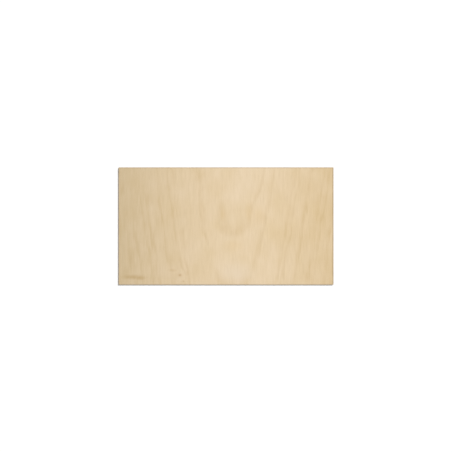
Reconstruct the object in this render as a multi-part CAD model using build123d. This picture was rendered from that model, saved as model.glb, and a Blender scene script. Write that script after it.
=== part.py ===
from build123d import *
import os

# A plywood sheet lying flat with its better face up: one bonded panel, pressed and then sawn to size.
# Millimetres. X runs along the length, Y along the width and the face grain, and Z up.
# The origin is the middle of the underside.

# Driving dimensions
sheet_length = 2750.0  # across the face grain
sheet_width = 1500.0  # along the face grain
sheet_thickness = 18.0
corner_radius = 2.0  # the four upright corners, rubbed by handling
arris_radius = 0.5  # the sawn arrises round both faces, broken by sanding


def trimmed_outline():
    """The outline that the saw leaves, seen from above, with its corners rubbed."""
    return RectangleRounded(sheet_length, sheet_width, corner_radius)


def plywood_sheet():
    """The whole sheet as one solid, with the arrises of both faces broken all round."""
    panel = extrude(trimmed_outline(), amount=sheet_thickness)
    faces = panel.faces().sort_by(Axis.Z)
    underside, face = faces.first, faces.last
    return fillet(underside.edges() + face.edges(), radius=arris_radius)


os.makedirs("parts", exist_ok=True)
export_step(plywood_sheet(), "parts/plywood_sheet.step")
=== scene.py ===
import math

import bmesh
import bpy
from mathutils import Matrix, Vector, noise


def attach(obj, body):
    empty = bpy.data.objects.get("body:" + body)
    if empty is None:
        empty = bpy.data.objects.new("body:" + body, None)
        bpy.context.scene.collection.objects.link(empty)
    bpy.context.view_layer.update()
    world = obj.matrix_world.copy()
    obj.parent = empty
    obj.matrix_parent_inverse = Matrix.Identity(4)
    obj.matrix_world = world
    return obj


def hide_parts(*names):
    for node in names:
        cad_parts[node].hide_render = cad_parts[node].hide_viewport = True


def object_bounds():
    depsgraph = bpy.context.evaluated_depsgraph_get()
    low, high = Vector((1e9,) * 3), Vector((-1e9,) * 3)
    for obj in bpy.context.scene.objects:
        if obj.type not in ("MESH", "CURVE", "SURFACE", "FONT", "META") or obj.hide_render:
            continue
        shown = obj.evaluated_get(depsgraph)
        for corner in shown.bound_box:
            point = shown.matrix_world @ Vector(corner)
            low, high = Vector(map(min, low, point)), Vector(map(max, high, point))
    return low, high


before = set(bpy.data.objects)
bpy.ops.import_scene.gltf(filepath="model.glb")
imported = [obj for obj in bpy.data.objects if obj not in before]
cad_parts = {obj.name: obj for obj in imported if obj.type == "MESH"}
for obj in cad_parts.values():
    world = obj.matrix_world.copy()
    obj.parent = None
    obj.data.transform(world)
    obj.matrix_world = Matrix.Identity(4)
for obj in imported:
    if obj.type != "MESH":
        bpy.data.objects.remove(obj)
cad_low, cad_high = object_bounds()

# A sheet of cross-grain birch plywood lying on a white floor, seen from straight above.
# Metres, in the part's own frame: X along the length, Y along the face grain and up the picture, Z up.

MM = 0.001

# The sheet, at the size that the frame gives it
LENGTH, WIDTH, THICKNESS = cad_high - cad_low
CORNER_RADIUS = 2.0 * MM
CORNER_SEGMENTS = 4
ARRIS_RADIUS = 0.5 * MM
ARRIS_SEGMENTS = 3
MESH_SPACING = 50.0 * MM  # the mesh is cut this often along the length and the width
SAME_LEVEL = 0.001 * MM  # two heights closer than this are one
FLAT = 0.999  # how much of its normal a face of the flat sides has along Z, at the least

# The sides of the sheet, by the number of their material
FACE, BACK, LONG_EDGE, SHORT_EDGE = range(4)

# The plies on the sawn edges
PLIES = 13
PLY = THICKNESS / PLIES
GLUE_HALF_WIDTH = 0.1 * MM
GLUE_DEPTH = 0.08 * MM
PLY_WAVER = 0.12 * MM  # how far a glue line wanders up and down
PLY_WAVER_LENGTH = 300.0 * MM
PLY_PATCH = 0.6  # plies to a patch of noise, so that a ply differs from the next
VENEER_RUN = 500.0 * MM  # over which a ply keeps its own shade
EDGE_STREAK = 70.0 * MM  # the length of the streaks in a ply that is cut along its grain
EDGE_STREAK_PLIES = 0.2  # and their width, in plies
PORE = 1.5 * MM  # the speckle of a ply that is cut across its grain, coarser than real pores, to show
PORE_RELIEF_SHARE = 0.5  # of the pores in the relief, beside the saw marks
CHECK_SPACING = 5.0 * MM  # between the cracks that peeling opens in a veneer, wider than real ones, to show
CHECK_SLANT = 0.8  # how far a crack leans over, for each ply's depth that it goes in
CHECK_WIDTH = 0.035  # in spacings
CHECK_SHIFT = 7.3  # from the cracks of one ply to those of the next, in spacings
SAW_MARK = 4.0 * MM  # between the marks of the blade
SAW_RELIEF = 0.04 * MM
HANDLED_PLIES = 0.5  # how far down the edge handling has darkened the arrises, in plies
EDGE_ROUGHNESS = 0.75
WOOD_IOR = 1.5

# The photograph: the middle of the sheet in it and the middle of the frame, in pixels
PICTURE_PX = 452
SHEET_PX = 214.9
SHEET_MIDDLE_PX = Vector((225.55, 225.5))
FRAME_MIDDLE_PX = Vector((225.5, 225.5))
PIXEL = LENGTH / SHEET_PX  # what a pixel spans on the sheet

# The camera
LENS_MM = 50.0
SENSOR_MM = 36.0
CAMERA_HEIGHT = PICTURE_PX * PIXEL * LENS_MM / SENSOR_MM

# The light: a soft key from the top right and an even sky, which together show a colour as it is written
KEY_SHARE = 0.7
KEY_FROM = Vector((0.75, 0.8, 1.0)).normalized()
KEY_ANGLE = 0.25  # radians across, as a large soft box has
FLOOR_SIZE = 60.0
FLOOR_LIFT = 0.05  # added to the floor as the camera sees it, so that all but its shadows is white

# Noise: the range that most of it keeps to, its middle, and how far apart two seeds lie, in patches
NOISE_LOW = 0.3
NOISE_HIGH = 0.7
NOISE_MIDDLE = 0.5
SEED_STEP = (1.37, 0.61, 0.0)

# Where the rings of the face and of the back come to a point, and what sets the noise of each apart
FACE_TIP_PX = (232.7, 235.0)
FACE_SEEDS = {"figure": 1, "fade": 52, "mottle": 15, "streaks": 20}
BACK_TIP = (-0.42, 0.31)
BACK_SEEDS = {"figure": 11, "fade": 12, "mottle": 13, "streaks": 14}

# Rotary-cut birch: the rings taper about the pith, and the peeled face cuts them in a nest of blunt Vs.
PITH_DEPTH = 360.0 * MM  # the deeper, the wider the tip of each V
BLUNTNESS = 3.0  # of the tips, which would be hyperbolas at 2
TAPER = 0.15  # of the trunk, which draws the rings into a V
RING_LOW = -150.0 * MM
RING_HIGH = 1300.0 * MM
RING_BREAK = 0.6  # from a ring's dark end to the pale start of the next, as a share of its darkening
# Each ring's end in mm outside the tip, the mm before it over which the ring darkens, and how dark it gets
RINGS = (
    (-6.0, 28.0, 0.7),
    (100.0, 35.0, 0.68),
    (335.0, 40.0, 0.65),
    (395.0, 40.0, 0.6),
    (530.0, 45.0, 0.6),
    (700.0, 50.0, 0.65),
    (765.0, 45.0, 0.6),
    (900.0, 60.0, 0.6),
    (990.0, 70.0, 0.7),
)
WAVER = 30.0 * MM  # how far the rings stray sideways in long bends
WAVER_PATCH = (330.0 * MM, 900.0 * MM, math.inf)
RIPPLE = 45.0 * MM  # and in short ones
RIPPLE_PATCH = (40.0 * MM, 320.0 * MM, math.inf)
FADE_PATCH = (120.0 * MM, 260.0 * MM, math.inf)  # over which the end of a ring comes and goes
FADE_LEAST = 0.25  # what is left of it where it is faintest
MOTTLE_PATCH = (230.0 * MM, 330.0 * MM, math.inf)
STREAK_PATCH = (26.0 * MM, 330.0 * MM, math.inf)
STREAK_RELIEF_SHARE = 0.3  # of the streaks in the relief, beside the fibres
FIBRE_PATCH = (4.0 * MM, 150.0 * MM, math.inf)  # some ten times as coarse as real bundles, to show
PORE_SPACING = (2.0 * MM, 18.0 * MM)  # of open pores, some five times as far apart as real ones, to show
PORE_REACH = 0.15  # from the middle of a pore to its rim, in spacings
GRAIN_RELIEF = 0.03 * MM
SANDED_ROUGHNESS = (0.55, 0.65)  # between the fibres and on them

# Where the wood turns tan towards the left end and straw-coloured towards the right one, and darker towards
# both: the tones are the wood's own, and the darkening of the ends is painted shade where the light falls off
TAN_SHADE_FROM = 0.08 * LENGTH
TAN_SHADE_TO = -0.5 * LENGTH
TAN_SHADE_CURVE = 1.6  # it turns slowly at first
STRAW_SHADE_FROM = 0.2 * LENGTH
STRAW_SHADE_TO = 0.5 * LENGTH

# The marks on the face, each by its middle and its radii in the photograph's pixels
PALE_MOUTH_PX = ((247.0, 181.0), (30.0, 40.0))  # between the limbs of the V
PALE_FOOT_PX = ((236.0, 272.0), (26.0, 18.0))  # under its tip
PALE_CORE_PX = ((232.0, 219.0), (6.0, 24.0))  # above its tip
STRAW_PATCH_PX = ((305.0, 217.0), (60.0, 50.0))  # a yellower area at the right end
# Darker spots on the limbs of the innermost ring, under it and to its right
SHADES_PX = (
    ((222.5, 214.0), (4.5, 10.0)),
    ((248.5, 212.0), (6.0, 15.0)),
    ((233.0, 245.0), (14.0, 10.0)),
    ((258.0, 214.0), (9.0, 15.0)),
)
# Fainter ones on both sides of it, most of them wide
BROAD_SHADES_PX = (
    ((280.0, 231.0), (26.0, 18.0)),
    ((168.0, 213.0), (18.0, 32.0)),
    ((208.0, 229.0), (15.0, 18.0)),
    ((269.0, 226.0), (9.0, 17.0)),
)
# Where the end of a ring fades out
FADED_PX = (
    ((209.0, 257.0), (12.0, 26.0)),
    ((222.0, 180.0), (8.0, 28.0)),
    ((179.0, 210.0), (6.0, 26.0)),
    ((138.0, 176.0), (28.0, 24.0)),
    ((126.0, 217.0), (9.0, 36.0)),
)
TIP_SWIRLS_PX = (((214.0, 160.0), (34.0, 75.0)), ((257.0, 213.0), (13.0, 20.0)))
TIP_SWIRLS = (130.0 * MM, 20.0 * MM)  # how far the limbs of the V bend in there
KNOT_SWIRL_PX = ((179.7, 274.8), (7.0, 8.5))
KNOT_SWIRL = 90.0 * MM  # how far the rings bend round the knot
KNOT_HALO_PX = ((180.0, 277.0), (7.0, 7.0))  # the paler wood round it
KNOT_PX = ((179.7, 274.8), (3.2, 2.5))
KNOT_HEART_PX = ((179.5, 274.7), (1.5, 1.0))
KNOT_SPECK_PX = ((183.0, 280.7), (1.4, 1.4))  # a small dark speck under it
KNOT_SHADE_PX = ((187.0, 272.5), (2.6, 4.5))  # and a faint one to its right
SCAR_PX = ((172.0, 269.8), (6.0, 2.4))  # a healed twig, with a pale lip over it
SCAR_LIP_PX = ((174.5, 266.2), (5.5, 2.2))
SMEAR_PX = (((132.0, 276.6), (15.0, 3.5)), ((138.8, 277.3), (9.0, 3.2)))  # a brown streak, in two lobes
RAGGED = (11.0 * MM, 6.0 * MM, 0.0)  # how far the outline of a small mark strays
RAGGED_PATCH = (30.0 * MM, 45.0 * MM, math.inf)
# A rim of painted shade round the face, for the dark line that the sheet's edge and shadow give there,
# together with darkening from handling
RIM_REACH = (14.0 * MM, 7.0 * MM, math.inf)  # how far in the painted shade and the handling darken the ends and the long sides
RIM_MIDDLE = (-4.0 * MM, -3.5 * MM, 0.0)  # the rim darkens the right end and the top the most
RIM_PATCH = (2.5 * MM, 90.0 * MM, math.inf)  # it follows the fibres
RIM_LEAST = 0.3  # what is left of it where it is faintest

# The map that the finish is baked on, in shares of its side: the face is largest, and the edges are strips
# stretched across the plies so that each ply has room.
MAP_FACE = ((0.01, 0.455), (0.99, 0.9895))
MAP_BACK = ((0.01, 0.125), (0.59, 0.441))
MAP_LONG_EDGES = (((0.01, 0.01), (0.99, 0.055)), ((0.01, 0.065), (0.99, 0.11)))
MAP_SHORT_EDGES = (((0.61, 0.30), (0.99, 0.345)), ((0.61, 0.36), (0.99, 0.405)))


def on_sheet(px, py):
    """The place on the sheet, in metres, of a pixel of the photograph."""
    return (px - SHEET_MIDDLE_PX.x) * PIXEL, (SHEET_MIDDLE_PX.y - py) * PIXEL


def linear(colour):
    """An sRGB colour, written as a hex value, in the linear light that shaders take."""
    channels = [int(colour[i:i + 2], 16) / 255 for i in (1, 3, 5)]
    return (*[c / 12.92 if c <= 0.04045 else ((c + 0.055) / 1.055) ** 2.4 for c in channels], 1.0)


def add(tree, kind, inputs=None, **settings):
    """Adds a node. Each input, by name or number, gets a value, a node or a node's socket."""
    made = tree.nodes.new("ShaderNode" + kind)
    for name, value in settings.items():
        setattr(made, name, value)
    for key, value in (inputs or {}).items():
        named = [s for s in made.inputs if s.enabled and s.name == key]
        socket = named[0] if named else made.inputs[key]
        if isinstance(value, bpy.types.Node):
            value = next(s for s in value.outputs if s.enabled)
        if isinstance(value, bpy.types.NodeSocket):
            tree.links.new(value, socket)
        else:
            socket.default_value = value
    return made


def new_material(name):
    """A material with an empty node tree."""
    material = bpy.data.materials.new(name)
    material.use_nodes = True
    material.node_tree.nodes.clear()
    return material, material.node_tree


def drawn_noise(tree, coords, patch, detail, seed=0):
    """Soft noise from 0 to 1, in patches of a size along each axis, with finer detail laid over them."""
    drawn = add(tree, "Mapping", {"Vector": coords, "Location": [seed * step for step in SEED_STEP],
                                  "Scale": [1 / size for size in patch]})
    soft = add(tree, "TexNoise", {"Vector": drawn, "Scale": 1.0, "Detail": detail})
    return add(tree, "MapRange", {"Value": soft, "From Min": NOISE_LOW, "From Max": NOISE_HIGH})


def tinted(tree, colour, tints):
    """A colour with tints laid on it in turn, each given by its amount, its own colour and how it is laid."""
    for amount, tint, blend in tints:
        colour = add(tree, "Mix", {"Factor": amount, "A": colour, "B": linear(tint)},
                     data_type="RGBA", blend_type=blend)
    return colour


def spot(tree, coords, middle_px, radii_px):
    """1 in the middle of a mark on the face, falling smoothly to 0 at its radii."""
    centred = add(tree, "Mapping", {"Vector": coords, "Location": (*on_sheet(*middle_px), THICKNESS),
                                    "Scale": (radii_px[0] * PIXEL, radii_px[1] * PIXEL, 1.0)},
                  vector_type="TEXTURE")
    distance = add(tree, "VectorMath", {0: centred}, operation="LENGTH")
    return add(tree, "MapRange", {"Value": distance, "From Min": 1.0, "From Max": 0.0},
               interpolation_type="SMOOTHSTEP")


def growth_rings(tree, coords, tip, seed, swirls):
    """How far, in metres, a place lies outside the ring that ends at the tip."""
    from_tip = add(tree, "Mapping", {"Vector": coords, "Location": (*tip, 0.0)}, vector_type="TEXTURE")
    parts = add(tree, "SeparateXYZ", {0: from_tip}).outputs
    sideways = add(tree, "Math", {0: parts["X"], 1: (WAVER + RIPPLE) / 2}, operation="SUBTRACT")
    wavers = [(drawn_noise(tree, coords, WAVER_PATCH, detail=1.0, seed=seed), WAVER),
              (drawn_noise(tree, coords, RIPPLE_PATCH, detail=2.0, seed=seed), RIPPLE)]
    for bend, amount in wavers:
        sideways = add(tree, "Math", {0: bend, 1: amount, 2: sideways}, operation="MULTIPLY_ADD")

    radius = add(tree, "Math", {0: sideways}, operation="ABSOLUTE")
    radius = add(tree, "Math", {0: radius, 1: BLUNTNESS}, operation="POWER")
    radius = add(tree, "Math", {0: radius, 1: PITH_DEPTH ** BLUNTNESS}, operation="ADD")
    radius = add(tree, "Math", {0: radius, 1: 1 / BLUNTNESS}, operation="POWER")
    drop = add(tree, "Math", {0: parts["Y"], 1: -TAPER, 2: -PITH_DEPTH}, operation="MULTIPLY_ADD")
    rings = add(tree, "Math", {0: radius, 1: drop}, operation="ADD")
    for bend, amount in swirls:
        rings = add(tree, "Math", {0: bend, 1: amount, 2: rings}, operation="MULTIPLY_ADD")
    return rings


def latewood(tree, coords, rings, seed):
    """Each ring darkens slowly towards its latewood and then breaks off, in places more than in others."""
    along = add(tree, "MapRange", {"Value": rings, "From Min": RING_LOW, "From Max": RING_HIGH})
    lines = add(tree, "ValToRGB", {"Fac": along})
    ramp = lines.color_ramp
    ramp.interpolation = "EASE"
    ramp.elements[1].color = (0.0, 0.0, 0.0, 1.0)
    for end, darkening, darkness in RINGS:
        stops = ((end - darkening, 0.0), (end, darkness), (end + RING_BREAK * darkening, 0.0))
        for place, level in stops:
            stop = ramp.elements.new((place * MM - RING_LOW) / (RING_HIGH - RING_LOW))
            stop.color = (level, level, level, 1.0)
    fade = drawn_noise(tree, coords, FADE_PATCH, detail=1.0, seed=seed)
    fade = add(tree, "MapRange", {"Value": fade, "To Min": FADE_LEAST})
    return add(tree, "Math", {0: lines, 1: fade}, operation="MULTIPLY")


def rim_shade_and_handling(tree, coords, seed):
    """Painted shade for the sheet's edge and shadow, with darkening from handling: most at the outline, 0 a
    little way in.
    """
    inset = add(tree, "VectorMath", {0: coords, 1: RIM_MIDDLE}, operation="SUBTRACT")
    inset = add(tree, "VectorMath", {0: inset}, operation="ABSOLUTE")
    inset = add(tree, "VectorMath", {0: (LENGTH / 2, WIDTH / 2, THICKNESS), 1: inset}, operation="SUBTRACT")
    inset = add(tree, "VectorMath", {0: inset, 1: [1 / reach for reach in RIM_REACH]}, operation="MULTIPLY")
    gaps = add(tree, "SeparateXYZ", {0: inset}).outputs
    gap = add(tree, "Math", {0: gaps["X"], 1: gaps["Y"]}, operation="MINIMUM")
    near = add(tree, "MapRange", {"Value": gap, "From Min": 1.0, "From Max": 0.0})
    patchy = drawn_noise(tree, coords, RIM_PATCH, detail=2.0, seed=seed)
    patchy = add(tree, "MapRange", {"Value": patchy, "To Min": RIM_LEAST})
    return add(tree, "Math", {0: near, 1: patchy}, operation="MULTIPLY")


def face_marks(tree, coords):
    """The marks that only the face has, each with its tint and how it is laid on the wood."""
    broad = [(PALE_MOUTH_PX, "#2E2D2C", "SCREEN"), (PALE_FOOT_PX, "#605D60", "SCREEN"),
             (PALE_CORE_PX, "#2C2B2A", "SCREEN"), (STRAW_PATCH_PX, "#FEFDFA", "MULTIPLY")]
    broad += [(shade, "#FBF8EF", "MULTIPLY") for shade in SHADES_PX]
    broad += [(shade, "#FDFCF8", "MULTIPLY") for shade in BROAD_SHADES_PX]
    marks = [(spot(tree, coords, *mark), tint, blend) for mark, tint, blend in broad]

    # The small marks have ragged outlines.
    drawn = add(tree, "Mapping", {"Vector": coords, "Scale": [1 / size for size in RAGGED_PATCH]})
    strayed = add(tree, "TexNoise", {"Vector": drawn, "Scale": 1.0, "Detail": 3.0}).outputs["Color"]
    strayed = add(tree, "VectorMath", {0: strayed, 1: [NOISE_MIDDLE] * 3}, operation="SUBTRACT")
    ragged = add(tree, "VectorMath", {0: strayed, 1: [2 * reach for reach in RAGGED], 2: coords},
                 operation="MULTIPLY_ADD")
    small = [(KNOT_HALO_PX, "#1C1C1A", "SCREEN"), (SCAR_LIP_PX, "#222220", "SCREEN"),
             (SCAR_PX, "#F6F2EB", "MULTIPLY"), (KNOT_PX, "#F4EEE7", "MULTIPLY"),
             (KNOT_HEART_PX, "#E9DFD3", "MULTIPLY"), (KNOT_SPECK_PX, "#EDE6DB", "MULTIPLY"),
             (KNOT_SHADE_PX, "#F8F5EF", "MULTIPLY")]
    marks += [(spot(tree, ragged, *mark), tint, blend) for mark, tint, blend in small]
    smear = 0.0
    for lobe in SMEAR_PX:
        smear = add(tree, "Math", {0: spot(tree, ragged, *lobe), 1: smear}, operation="MAXIMUM")
    return marks + [(smear, "#EDE6D6", "MULTIPLY")]


def rotary_birch(name, tip, seeds, marked):
    """Sanded rotary-cut birch: pale and matt, with a faint nest of V-shaped rings and fine fibres."""
    material, tree = new_material(name)
    coords = add(tree, "TexCoord").outputs["Object"]
    across = add(tree, "SeparateXYZ", {0: coords}).outputs["X"]

    bends = [*zip(TIP_SWIRLS_PX, TIP_SWIRLS), (KNOT_SWIRL_PX, KNOT_SWIRL)] if marked else []
    swirls = [(spot(tree, coords, *mark), amount) for mark, amount in bends]
    rings = growth_rings(tree, coords, tip, seeds["figure"], swirls)
    lines = latewood(tree, coords, rings, seeds["fade"])
    for mark in FADED_PX if marked else ():
        faded = spot(tree, coords, *mark)
        lines = add(tree, "Math", {0: lines, 1: faded}, operation="SUBTRACT", use_clamp=True)
    streaks = drawn_noise(tree, coords, STREAK_PATCH, detail=3.0, seed=seeds["streaks"])
    fibres = drawn_noise(tree, coords, FIBRE_PATCH, detail=2.0, seed=seeds["streaks"])
    mottle = drawn_noise(tree, coords, MOTTLE_PATCH, detail=2.0, seed=seeds["mottle"])
    spacing = (1 / PORE_SPACING[0], 1 / PORE_SPACING[1], 0.0)
    spaced = add(tree, "Mapping", {"Vector": coords, "Scale": spacing})
    pores = add(tree, "TexVoronoi", {"Vector": spaced, "Scale": 1.0}, voronoi_dimensions="2D")
    pores = add(tree, "MapRange", {"Value": pores, "From Min": PORE_REACH, "From Max": 0.0})
    pores = add(tree, "Math", {0: pores, 1: fibres}, operation="MULTIPLY")

    # The wood is tan at the left end, palest right of the middle and straw-coloured at the right end; both
    # ends are also darker with painted shade.
    tan_shaded_end = add(tree, "MapRange", {"Value": across, "From Min": TAN_SHADE_FROM, "From Max": TAN_SHADE_TO})
    tan_shaded_end = add(tree, "Math", {0: tan_shaded_end, 1: TAN_SHADE_CURVE}, operation="POWER")
    straw_shaded_end = add(tree, "MapRange", {"Value": across, "From Min": STRAW_SHADE_FROM, "From Max": STRAW_SHADE_TO})
    # the two end colours carry painted shade as well as the wood's tan and straw tones
    tints = [(straw_shaded_end, "#E3CBA5", "MIX"), (tan_shaded_end, "#D3BE9C", "MIX"), (lines, "#F2EDE0", "MULTIPLY"),
             (streaks, "#FAF9F5", "MULTIPLY"), (mottle, "#F9F7EF", "MULTIPLY"),
             (fibres, "#F7F5F1", "MULTIPLY"), (pores, "#D2C2AC", "MULTIPLY")]
    if marked:
        tints += face_marks(tree, coords)
    # painted shade round the outline, with darkening from handling
    tints.append((rim_shade_and_handling(tree, coords, seeds["streaks"]), "#7B6850", "MIX"))
    colour = tinted(tree, linear("#ECD6B6"), tints)

    grain = add(tree, "Math", {0: streaks, 1: STREAK_RELIEF_SHARE, 2: fibres}, operation="MULTIPLY_ADD")
    relief = add(tree, "Bump", {"Height": grain, "Distance": GRAIN_RELIEF})
    smooth, rough = SANDED_ROUGHNESS
    roughness = add(tree, "MapRange", {"Value": fibres, "To Min": smooth, "To Max": rough})
    surface = add(tree, "BsdfPrincipled", {"Base Color": colour, "Roughness": roughness, "IOR": WOOD_IOR,
                                           "Normal": relief})
    add(tree, "OutputMaterial", {"Surface": surface})
    return material


def sawn_edge(name, along, end_grain_first):
    """Sawn birch plywood: matt, with plies of pale long grain and of darker end grain in turn.

    The long grain is streaked and the end grain speckled. Thin dark glue lines part the plies, peeling has
    left fine cracks in the end grain, and the saw has left its marks.
    """
    material, tree = new_material(name)
    coords = add(tree, "TexCoord").outputs["Object"]
    run = add(tree, "SeparateXYZ", {0: coords}).outputs[along]
    ply = add(tree, "Attribute", attribute_name="ply").outputs["Fac"]
    count = add(tree, "Math", {0: ply}, operation="FLOOR")
    part = add(tree, "Math", {0: ply}, operation="FRACT")
    turn = add(tree, "Math", {0: count, 1: 0.0 if end_grain_first else 1.0}, operation="ADD")
    long_grain = add(tree, "Math", {0: turn, 1: 2.0}, operation="MODULO")

    # Each ply has its own place in the noise, so that none repeats the next.
    places = add(tree, "CombineXYZ", {"X": run, "Y": ply, "Z": count})
    own = drawn_noise(tree, places, (VENEER_RUN, math.inf, PLY_PATCH), detail=1.0)
    streaks = drawn_noise(tree, places, (EDGE_STREAK, EDGE_STREAK_PLIES, PLY_PATCH), detail=3.0)
    pores = drawn_noise(tree, places, (PORE, PORE / PLY, PLY_PATCH), detail=2.0)
    saw_marks = drawn_noise(tree, places, (SAW_MARK, math.inf, math.inf), detail=1.0)
    # The cracks are painted darker, as painted shade inside them; they have no relief.
    leaned = add(tree, "Math", {0: part, 1: CHECK_SLANT * PLY, 2: run}, operation="MULTIPLY_ADD")
    leaned = add(tree, "Math", {0: leaned, 1: CHECK_SPACING}, operation="DIVIDE")
    leaned = add(tree, "Math", {0: count, 1: CHECK_SHIFT, 2: leaned}, operation="MULTIPLY_ADD")
    check_shade = add(tree, "TexVoronoi", {"W": leaned, "Scale": 1.0}, voronoi_dimensions="1D",
                 feature="DISTANCE_TO_EDGE")
    check_shade = add(tree, "MapRange", {"Value": check_shade, "From Min": CHECK_WIDTH, "From Max": 0.0})
    check_shade = add(tree, "Math", {0: check_shade, 1: pores}, operation="MULTIPLY")

    # The glue shows where two plies meet, and handling has darkened the outer arrises.
    half_ply = 0.5
    from_middle = add(tree, "Math", {0: part, 1: half_ply}, operation="SUBTRACT")
    from_middle = add(tree, "Math", {0: from_middle}, operation="ABSOLUTE")
    glue = add(tree, "MapRange", {"Value": from_middle, "From Min": half_ply - GLUE_HALF_WIDTH / PLY,
                                  "From Max": half_ply})
    half_sheet = PLIES / 2
    from_core = add(tree, "Math", {0: ply, 1: half_sheet}, operation="SUBTRACT")
    from_core = add(tree, "Math", {0: from_core}, operation="ABSOLUTE")
    handled = add(tree, "MapRange", {"Value": from_core, "From Min": half_sheet - HANDLED_PLIES,
                                     "From Max": half_sheet})

    pale = tinted(tree, linear("#E2CBA4"), [(streaks, "#D0B68E", "MIX")])
    dark = tinted(tree, linear("#C4A47A"), [(pores, "#A8865E", "MIX"), (check_shade, "#C8B8A4", "MULTIPLY")])
    colour = add(tree, "Mix", {"Factor": long_grain, "A": dark, "B": pale}, data_type="RGBA")
    colour = tinted(tree, colour, [(own, "#E4DCD0", "MULTIPLY"), (glue, "#6B4C31", "MIX"),
                                   (handled, "#937B5E", "MIX")])

    cut = add(tree, "Math", {0: pores, 1: PORE_RELIEF_SHARE, 2: saw_marks}, operation="MULTIPLY_ADD")
    relief = add(tree, "Bump", {"Height": cut, "Distance": SAW_RELIEF})
    surface = add(tree, "BsdfPrincipled", {"Base Color": colour, "Roughness": EDGE_ROUGHNESS, "IOR": WOOD_IOR,
                                           "Normal": relief})
    add(tree, "OutputMaterial", {"Surface": surface})
    return material


def sheet_mesh():
    """The sheet, with rubbed corners, broken arrises and a fine groove along each glue line of its edges."""
    bm = bmesh.new()
    middle = Matrix.Translation((0.0, 0.0, THICKNESS / 2))
    bmesh.ops.create_cube(bm, size=1.0, matrix=middle @ Matrix.Diagonal((LENGTH, WIDTH, THICKNESS, 1.0)))
    upright = [e for e in bm.edges if abs(e.verts[0].co.z - e.verts[1].co.z) > SAME_LEVEL]
    bmesh.ops.bevel(bm, geom=upright, offset=CORNER_RADIUS, offset_type="OFFSET", affect="EDGES",
                    segments=CORNER_SEGMENTS, profile=0.5, material=-1)
    rims = [e for e in bm.edges if abs(e.verts[0].co.z - e.verts[1].co.z) < SAME_LEVEL]
    bmesh.ops.bevel(bm, geom=rims, offset=ARRIS_RADIUS, offset_type="OFFSET", affect="EDGES",
                    segments=ARRIS_SEGMENTS, profile=0.5, material=-1)

    def cut(point, normal):
        """Cuts the whole mesh by a plane, and gives the vertices that lie on it."""
        whole = [*bm.verts, *bm.edges, *bm.faces]
        made = bmesh.ops.bisect_plane(bm, geom=whole, dist=SAME_LEVEL, plane_co=point, plane_no=normal)
        return [g for g in made["geom_cut"] if isinstance(g, bmesh.types.BMVert)]

    for size, normal in ((LENGTH, Vector((1.0, 0.0, 0.0))), (WIDTH, Vector((0.0, 1.0, 0.0)))):
        strips = round(size / MESH_SPACING)
        for i in range(1, strips):
            cut(normal * (i / strips - 0.5) * size, normal)

    up = Vector((0.0, 0.0, 1.0))
    for i in range(1, PLIES):
        line = cut(up * i * PLY, up)
        for side in (-1, 1):
            cut(up * (i * PLY + side * GLUE_HALF_WIDTH), up)
        bm.normal_update()
        for vert in line:
            vert.co -= vert.normal * GLUE_DEPTH

    # The glue lines wander a little, and each vertex keeps the number of its ply for the finish of the edges.
    number = bm.verts.layers.float.new("ply")
    for vert in bm.verts:
        vert[number] = vert.co.z / PLY
        nearest = round(vert[number])
        if 0 < nearest < PLIES and abs(vert.co.z - nearest * PLY) < 2 * GLUE_HALF_WIDTH:
            place = Vector((vert.co.x, vert.co.y, nearest * PLY_WAVER_LENGTH)) / PLY_WAVER_LENGTH
            vert.co.z += noise.noise(place) * PLY_WAVER
    return bm


def side_of(face):
    """The side of the sheet that a face of the mesh belongs to."""
    normal = face.normal
    if abs(normal.z) > FLAT:
        return FACE if normal.z > 0 else BACK
    return LONG_EDGE if abs(normal.y) > abs(normal.x) else SHORT_EDGE


def lay_on_map(face, side, bake_map):
    """Lays a face of the mesh on its side's part of the map."""
    normal = face.normal
    areas = {FACE: MAP_FACE, BACK: MAP_BACK, LONG_EDGE: MAP_LONG_EDGES[normal.y > 0],
             SHORT_EDGE: MAP_SHORT_EDGES[normal.x > 0]}
    (left, bottom), (right, top) = areas[side]
    for loop in face.loops:
        place = loop.vert.co
        u = place.y / WIDTH + 0.5 if side == SHORT_EDGE else place.x / LENGTH + 0.5
        v = place.y / WIDTH + 0.5 if side in (FACE, BACK) else place.z / THICKNESS
        loop[bake_map].uv = (left + u * (right - left), bottom + v * (top - bottom))


def plywood_sheet():
    """The sheet as one piece: its face, its back, its two long edges and its two short ones."""
    bm = sheet_mesh()
    bm.normal_update()
    bake_map = bm.loops.layers.uv.new("OFBake")
    for face in bm.faces:
        side = side_of(face)
        face.material_index = side
        face.smooth = side in (LONG_EDGE, SHORT_EDGE)
        lay_on_map(face, side, bake_map)

    mesh = bpy.data.meshes.new("plywood_sheet_skin")
    bm.to_mesh(mesh)
    bm.free()
    mesh.materials.append(rotary_birch("sanded_birch_face", on_sheet(*FACE_TIP_PX), FACE_SEEDS, marked=True))
    mesh.materials.append(rotary_birch("sanded_birch_back", BACK_TIP, BACK_SEEDS, marked=False))
    mesh.materials.append(sawn_edge("sawn_birch_long_edge", "X", end_grain_first=True))
    mesh.materials.append(sawn_edge("sawn_birch_short_edge", "Y", end_grain_first=False))
    sheet = bpy.data.objects.new("plywood_sheet_skin", mesh)
    bpy.context.scene.collection.objects.link(sheet)
    return sheet


def seen_directly(tree):
    """1 for what the camera sees, itself or in a reflection, and 0 for light that falls on things."""
    path = add(tree, "LightPath").outputs
    seen = add(tree, "Math", {0: path["Is Camera Ray"], 1: path["Is Glossy Ray"]}, operation="ADD")
    return add(tree, "Math", {0: seen, 1: path["Is Transmission Ray"]}, operation="ADD", use_clamp=True)


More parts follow.
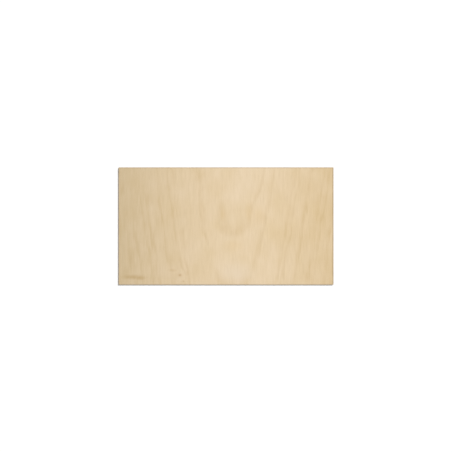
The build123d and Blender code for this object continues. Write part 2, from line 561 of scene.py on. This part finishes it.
def white_floor():
    """A white floor that keeps the sheet's shadow."""
    bm = bmesh.new()
    bmesh.ops.create_grid(bm, x_segments=1, y_segments=1, size=FLOOR_SIZE / 2)
    mesh = bpy.data.meshes.new("floor")
    bm.to_mesh(mesh)
    bm.free()
    material, tree = new_material("white_floor")
    lift = add(tree, "Math", {0: seen_directly(tree), 1: FLOOR_LIFT}, operation="MULTIPLY")
    paint = add(tree, "BsdfDiffuse", {"Color": linear("#FFFFFF")})
    glow = add(tree, "Emission", {"Strength": lift})
    both = add(tree, "AddShader", {0: paint, 1: glow})
    add(tree, "OutputMaterial", {"Surface": both})
    mesh.materials.append(material)
    made = bpy.data.objects.new("floor", mesh)
    bpy.context.scene.collection.objects.link(made)
    return made


def light_the_sheet():
    """A soft key from the top right and an even white sky."""
    key = bpy.data.lights.new("key", "SUN")
    key.angle = KEY_ANGLE
    key.energy = math.pi * KEY_SHARE / KEY_FROM.z
    lamp = bpy.data.objects.new("key", key)
    lamp.rotation_euler = KEY_FROM.to_track_quat("Z", "Y").to_euler()
    bpy.context.scene.collection.objects.link(lamp)

    world = bpy.data.worlds.new("sky")
    world.use_nodes = True
    bpy.context.scene.world = world
    tree = world.node_tree
    tree.nodes.clear()
    strength = add(tree, "MapRange", {"Value": seen_directly(tree), "To Min": 1.0 - KEY_SHARE})
    sky = add(tree, "Background", {"Color": linear("#FFFFFF"), "Strength": strength})
    add(tree, "OutputWorld", {"Surface": sky})


def look_down():
    """The camera, straight above the sheet."""
    camera = bpy.data.cameras.new("camera")
    camera.lens = LENS_MM
    camera.sensor_width = SENSOR_MM
    eye = bpy.data.objects.new("camera", camera)
    eye.location = (*on_sheet(*FRAME_MIDDLE_PX), THICKNESS + CAMERA_HEIGHT)
    bpy.context.scene.collection.objects.link(eye)
    bpy.context.scene.camera = eye


bpy.context.scene.view_settings.view_transform = "Standard"
look_down()
light_the_sheet()
white_floor()

sheet = plywood_sheet()
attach(sheet, "root")
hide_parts("plywood_sheet")
